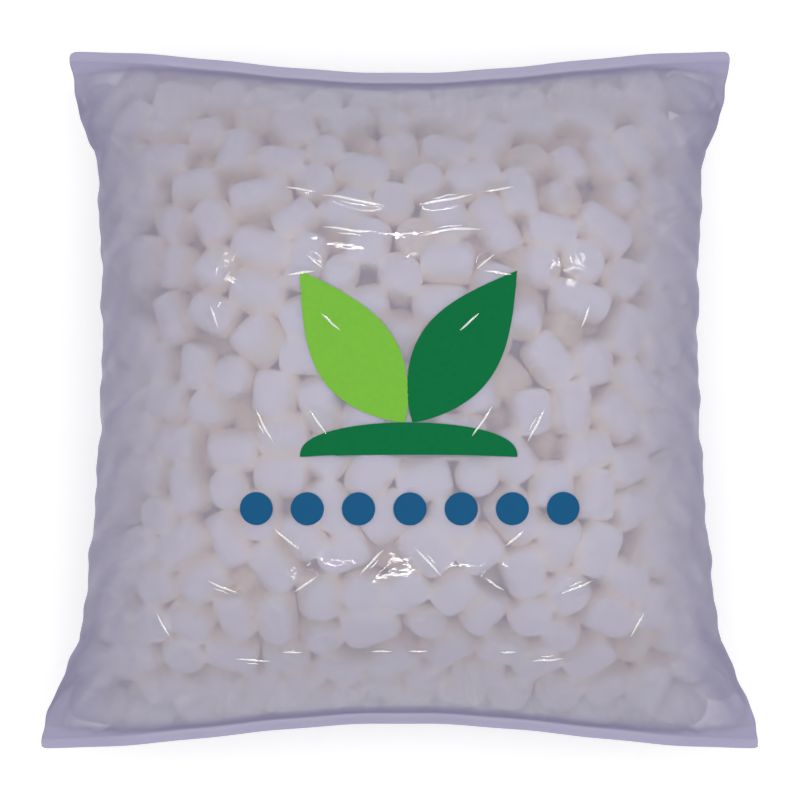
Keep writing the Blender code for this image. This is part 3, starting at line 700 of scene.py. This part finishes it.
def haze_and_shade_values(obj):
    """How milky the film is at each point: most in the ears, at the seals and on the flanks, with stripes on the
    flanks for painted fold shade and a push at the middle of the bottom seal for painted shade.
    """
    co = np.empty(len(obj.data.vertices) * 3)
    obj.data.vertices.foreach_get("co", co)
    x, y, z = co.reshape(-1, 3).T
    widths = np.array([half_width(v) for v in np.linspace(-CORNER_LENGTH / 2, CORNER_LENGTH / 2, 200)])
    width = np.interp(y, np.linspace(-CORNER_LENGTH / 2, CORNER_LENGTH / 2, 200), widths)
    side = np.clip(np.abs(x) / width, 0, 1) ** 9
    end = np.clip(np.abs(y) / (CORNER_LENGTH / 2), 0, 1) ** 14
    corner = side * np.clip((np.abs(y) - 0.18) / 0.10, 0, 1)
    seal = np.where(y > 0, seal_y(1, x / width), -seal_y(-1, x / width))
    band = np.clip((np.abs(y) - seal + 0.010) / 0.012, 0, 1)
    inwards = (1.75 * np.abs(x) + y) / 2.016
    upwards = (1.75 * y - np.abs(x)) / 2.016
    # Diagonal stripes of more and less milkiness on the flanks; through the ramp's darker step at 0.73 they show as
    # painted shade of the film's folds.
    folds = np.sin(inwards * 2 * np.pi / 0.021 + 1.6 * np.sin(upwards * 2 * np.pi / 0.110) + 0.7 * np.sign(x))
    folds = folds * (0.5 + 0.5 * np.sin(upwards * 2 * np.pi / 0.070 + inwards * 2 * np.pi / 0.050))
    flank = np.clip(np.abs(x) / width, 0, 1) ** 5
    milky = 0.40 + 0.34 * side + 0.12 * end + 0.12 * corner + 0.42 * band + 0.10 * folds * flank
    # Painted shade: pushes the milkiness to the ramp's darker grey end along the middle of the bottom seal.
    bottom_seal_shade = np.clip((-y - seal) / 0.004, 0, 1) * np.clip(1 - (x / 0.19) ** 2, 0, 1)
    return np.clip(milky, 0, 0.95) + 0.05 * bottom_seal_shade


def pleat_lines():
    """Middle lines and greatest widths of the fine pleats along the rolls, and of a thinner one beside each long roll."""
    draw = np.random.default_rng(11)
    share = np.linspace(-0.5, 0.5, PLEAT_STEPS)
    for x, y, long, heading, high, _ in STREAKS:
        for side in (1, -1):
            turned = math.radians(heading if side > 0 else 180 - heading)
            ahead = np.array([math.cos(turned), math.sin(turned)])
            beside = np.array([-ahead[1], ahead[0]])
            strands = ((0, 1, 1), (0.0032, 0.45, 0.6)) if long > LONG_ROLL else ((0, 1, 1),)
            for away, length, width in strands:
                bow, wave, phase = draw.normal(0, 1.4), draw.uniform(0.003, 0.008) * long, draw.uniform(0, 6)
                run = share * long * length * draw.uniform(0.75, 1.0)
                off = away + bow * run**2 + wave * np.sin(share * 9 + phase)
                line = np.array([side * x, y]) + run[:, None] * ahead + off[:, None] * beside
                yield line, beside, PLEAT_WIDTH * width * min(1, high / 1.6)


def pleats(skin):
    """Fine raised folds of the film, thin at both ends."""
    across = np.linspace(-1, 1, PLEAT_COLUMNS)
    share = np.linspace(-1, 1, PLEAT_STEPS)
    points, faces, shine = [], [], []
    for line, beside, width in pleat_lines():
        taper = (1 - share**2) ** 0.7 + 0.02
        faces += grid_faces(PLEAT_STEPS, PLEAT_COLUMNS, len(points)).tolist()
        for (x, y), thin in zip(line, taper):
            for t in across:
                place = np.array([x, y]) + beside * t * width / 2 * thin
                hit, _, _, _ = skin.ray_cast(Vector((*place, 0.4)), Vector((0, 0, -1)), 0.5)
                points.append((*place, hit.z + PLEAT_LIFT + 0.35 * width * thin * (1 - t**2)))
                shine.append(min(1, 1.25 * thin) * (1 - t**2))
    obj = mesh_object("film_pleats", points, faces)
    obj.data.attributes.new("shine", "FLOAT", "POINT").data.foreach_set("value", shine)
    return obj


def pleat_material():
    made, nodes, links, out = new_material("film_pleat_skin")
    through = nodes.new("ShaderNodeBsdfTransparent")
    gloss = nodes.new("ShaderNodeBsdfGlossy")
    gloss.inputs["Color"].default_value = (1, 1, 1, 1)
    gloss.inputs["Roughness"].default_value = 0.08
    shine = nodes.new("ShaderNodeAttribute")
    shine.attribute_name = "shine"
    share = nodes.new("ShaderNodeMath")
    share.operation = "MULTIPLY"
    share.inputs[1].default_value = 0.75
    both = nodes.new("ShaderNodeMixShader")
    links.new(shine.outputs["Fac"], share.inputs[0])
    links.new(share.outputs[0], both.inputs[0])
    links.new(through.outputs[0], both.inputs[1])
    links.new(gloss.outputs[0], both.inputs[2])
    links.new(both.outputs[0], out.inputs[0])
    return made


def print_piece(name, outline, skin, spacing, material):
    """A flat printed shape, laid on the film."""
    outline = np.array(outline)
    inner = []
    low, high = outline.min(axis=0), outline.max(axis=0)
    for x in np.arange(low[0], high[0], spacing):
        for y in np.arange(low[1], high[1], spacing):
            inner.append((x, y))
    inner = [p for p in inner if inside_outline(p, outline) and np.linalg.norm(outline - p, axis=1).min() > spacing * 0.5]
    places = [Vector(p) for p in [*map(tuple, outline), *inner]]
    loop = [(i, (i + 1) % len(outline)) for i in range(len(outline))]
    made = delaunay_2d_cdt(places, loop, [], 1, 1e-7)
    points = []
    for place in made[0]:
        hit, _, _, _ = skin.ray_cast(Vector((place.x, place.y, 0.4)), Vector((0, 0, -1)), 0.5)
        points.append((place.x, place.y, hit.z + 0.0005))
    obj = mesh_object(name, points, made[2])
    obj.data.materials.append(material)
    return obj


def inside_outline(p, outline):
    x, y = p
    a, b = outline, np.roll(outline, -1, axis=0)
    crosses = (a[:, 1] > y) != (b[:, 1] > y)
    with np.errstate(divide="ignore", invalid="ignore"):
        at = a[:, 0] + (y - a[:, 1]) * (b[:, 0] - a[:, 0]) / (b[:, 1] - a[:, 1])
    return bool(np.sum(crosses & (x < at)) % 2)


def ink_material(name, color):
    made, nodes, links, out = new_material(name)
    shader = nodes.new("ShaderNodeBsdfPrincipled")
    shader.inputs["Roughness"].default_value = 0.6
    shader.inputs["Specular IOR Level"].default_value = 0.06
    links.new(shader.outputs[0], out.inputs[0])
    place = nodes.new("ShaderNodeTexCoord")
    noise = nodes.new("ShaderNodeTexNoise")
    noise.inputs["Scale"].default_value = 220
    noise.inputs["Detail"].default_value = 5
    ramp = nodes.new("ShaderNodeValToRGB")
    ramp.color_ramp.elements[0].color = (*[c * 0.93 for c in color], 1)
    ramp.color_ramp.elements[1].color = (*[min(1, c * 1.07) for c in color], 1)
    links.new(place.outputs["Object"], noise.inputs["Vector"])
    links.new(noise.outputs["Fac"], ramp.inputs[0])
    links.new(ramp.outputs[0], shader.inputs["Base Color"])
    return made


def leaf(base, tip, width, count=40):
    """Outline of a simple leaf between two points."""
    base, tip = np.array(base), np.array(tip)
    run = tip - base
    side = np.array([-run[1], run[0]]) / np.linalg.norm(run)
    t = np.linspace(0, 1, count)
    bulge = np.sin(np.pi * t**0.85) * width / 2
    right = base + run * t[:, None] + side * bulge[:, None]
    left = base + run * t[::-1][:, None] - side * bulge[::-1][:, None] * 0.9
    return [*right, *left[1:-1]]


def hill(middle, width, height, count=40):
    """Outline of a low mound with a flat foot."""
    t = np.linspace(0, np.pi, count)
    return np.array(middle) + np.stack([width / 2 * np.cos(t), height * np.sin(t) ** 0.8], axis=1)


def disc(middle, radius, count=36):
    turn = np.arange(count) * 2 * np.pi / count
    return np.array(middle) + radius * np.stack([np.cos(turn), np.sin(turn)], axis=1)


def floor_material():
    made, nodes, links, out = new_material("studio_floor")
    paint = nodes.new("ShaderNodeBsdfDiffuse")
    paint.inputs["Color"].default_value = (0.90, 0.90, 0.90, 1)
    glow = nodes.new("ShaderNodeEmission")
    glow.inputs["Color"].default_value = (1, 1, 1, 1)
    path = nodes.new("ShaderNodeLightPath")
    most = nodes.new("ShaderNodeMath")
    most.operation = "MAXIMUM"
    links.new(path.outputs["Is Camera Ray"], most.inputs[0])
    links.new(path.outputs["Is Glossy Ray"], most.inputs[1])
    most_too = nodes.new("ShaderNodeMath")
    most_too.operation = "MAXIMUM"
    links.new(most.outputs[0], most_too.inputs[0])
    links.new(path.outputs["Is Transmission Ray"], most_too.inputs[1])
    share = nodes.new("ShaderNodeMath")
    share.operation = "MULTIPLY"
    share.inputs[1].default_value = 0.36
    links.new(most_too.outputs[0], share.inputs[0])
    links.new(share.outputs[0], glow.inputs["Strength"])
    both = nodes.new("ShaderNodeAddShader")
    links.new(paint.outputs[0], both.inputs[0])
    links.new(glow.outputs[0], both.inputs[1])
    links.new(both.outputs[0], out.inputs[0])
    return made


def stage():
    size = 4.0
    floor = mesh_object("floor", [(-size, -size, -0.0005), (size, -size, -0.0005), (size, size, -0.0005), (-size, size, -0.0005)], [(0, 1, 2, 3)], False)
    floor.data.materials.append(floor_material())
    world = bpy.data.worlds.new("studio")
    bpy.context.scene.world = world
    world.use_nodes = True
    sky = world.node_tree.nodes["Background"]
    sky.inputs["Color"].default_value = (1, 1, 1, 1)
    path = world.node_tree.nodes.new("ShaderNodeLightPath")
    level = world.node_tree.nodes.new("ShaderNodeMapRange")
    level.inputs["To Min"].default_value = 0.74
    level.inputs["To Max"].default_value = 1.0
    seen = world.node_tree.nodes.new("ShaderNodeMath")
    seen.operation = "MAXIMUM"
    world.node_tree.links.new(path.outputs["Is Camera Ray"], seen.inputs[0])
    world.node_tree.links.new(path.outputs["Is Glossy Ray"], seen.inputs[1])
    seen_too = world.node_tree.nodes.new("ShaderNodeMath")
    seen_too.operation = "MAXIMUM"
    world.node_tree.links.new(seen.outputs[0], seen_too.inputs[0])
    world.node_tree.links.new(path.outputs["Is Transmission Ray"], seen_too.inputs[1])
    world.node_tree.links.new(seen_too.outputs[0], level.inputs["Value"])
    world.node_tree.links.new(level.outputs["Result"], sky.inputs["Strength"])
    lamps = (
        ("strip_above", (0, 1.5, 1.9), (0.80, 0.05), 4.4, "gloss"),
        ("strip_below", (0, -1.5, 1.8), (0.90, 0.04), 3.0, "gloss"),
        ("strip_right", (1.5, 0.9, 1.9), (0.30, 0.05), 0.8, "gloss"),
        ("strip_left", (-1.5, 0.9, 1.9), (0.30, 0.05), 0.8, "gloss"),
        ("overhead", (0.2, 0.1, 2.6), (1.6, 1.6), 13, "matter"),
    )
    for name, place, size, power, seen_in in lamps:
        light = bpy.data.lights.new(name, "AREA")
        light.shape = "RECTANGLE"
        light.size, light.size_y = size
        light.energy = power
        lamp = bpy.data.objects.new(name, light)
        lamp.location = place
        lamp.rotation_euler = (Vector((0, 0, 0.1)) - Vector(place)).to_track_quat("-Z", "Y").to_euler()
        lamp.visible_diffuse = seen_in != "gloss"
        lamp.visible_glossy = seen_in == "gloss"
        bpy.context.scene.collection.objects.link(lamp)
    bpy.context.scene.view_settings.view_transform = "Standard"
    camera_data = bpy.data.cameras.new("camera")
    camera_data.lens = 150
    camera_data.sensor_width = 36
    camera = bpy.data.objects.new("camera", camera_data)
    span = 0.68
    distance = span / 2 / (18 / 150)
    camera.location = (0.0, 0.0, SEAL_HEIGHT + distance)
    camera_data.clip_end = 20
    bpy.context.scene.collection.objects.link(camera)
    bpy.context.scene.camera = camera


def main():
    stage()
    grids = [smooth_panel(side, np.linspace(-1, 1, GRID_ROWS), GRID_COLUMNS)[0] for side in (1, -1)]
    skin = skin_tree(grids)
    peanuts = packed_peanuts(grids, skin, np.random.default_rng(SEED))
    place = depths(skin, peanuts[0])
    outer = place[0] < OUTER_DEPTH
    front_side = outer & (peanuts[0][:, 2] > 0.10)
    groups = (
        ("peanuts_front", np.flatnonzero(front_side), FINE_AROUND, FINE_RINGS),
        ("peanuts_back", np.flatnonzero(outer & ~front_side), FINE_AROUND, FINE_RINGS),
        ("peanuts_inner", np.flatnonzero(~outer), COARSE_AROUND, COARSE_RINGS),
    )
    foam = foam_material()
    made = []
    for name, chosen, around, rings in groups:
        obj = peanut_mesh(name, chosen, peanuts, place, skin, around, rings)
        obj.data.materials.append(foam)
        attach(obj, "root")
        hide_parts("packing_peanuts")
        made.append(obj)
    obstacles = tree_of(made)
    rows = even_rows(1, FRONT_CELLS + 1)
    front, front_normals = smooth_panel(1, rows, FRONT_CELLS + 1)
    back, back_normals = smooth_panel(-1, rows[::BACK_SHARE], FRONT_CELLS // BACK_SHARE + 1)
    ridges, taut = creases(front)
    front = wavy(draped(front, front_normals, obstacles, 1, taut) + front_normals * ridges[..., None])
    back = wavy(draped(back, back_normals, obstacles, -1, np.zeros(back.shape[:2])))
    film = film_object(front, back)
    press_under(film, made)
    layer = film.data.attributes.new("haze_and_shade", "FLOAT", "POINT")
    layer.data.foreach_set("value", haze_and_shade_values(film))
    film.data.materials.append(film_material())
    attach(film, "root")
    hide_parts("film_bag")
    surface = tree_of([film])
    folded = pleats(surface)
    folded.data.materials.append(pleat_material())
    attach(folded, "root")
    lime = ink_material("ink_lime", (0.205, 0.527, 0.056))
    green = ink_material("ink_green", (0.003, 0.165, 0.050))
    blue = ink_material("ink_blue", (0.010, 0.102, 0.242))
    printed = [
        print_piece("print_leaf_left", leaf((0.004, -0.018), (-0.081, 0.105), 0.070), surface, 0.002, lime),
        print_piece("print_leaf_right", leaf((0.010, -0.018), (0.095, 0.105), 0.070), surface, 0.002, green),
        print_piece("print_hill", hill((0.007, -0.046), 0.176, 0.028), surface, 0.002, green),
    ]
    for i in range(7):
        spot = disc((0.008 + (i - 3) * 0.0415, -0.088), 0.0135)
        printed.append(print_piece(f"print_dot_{i + 1}", spot, surface, 0.003, blue))
    for obj in printed:
        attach(obj, "root")


main()
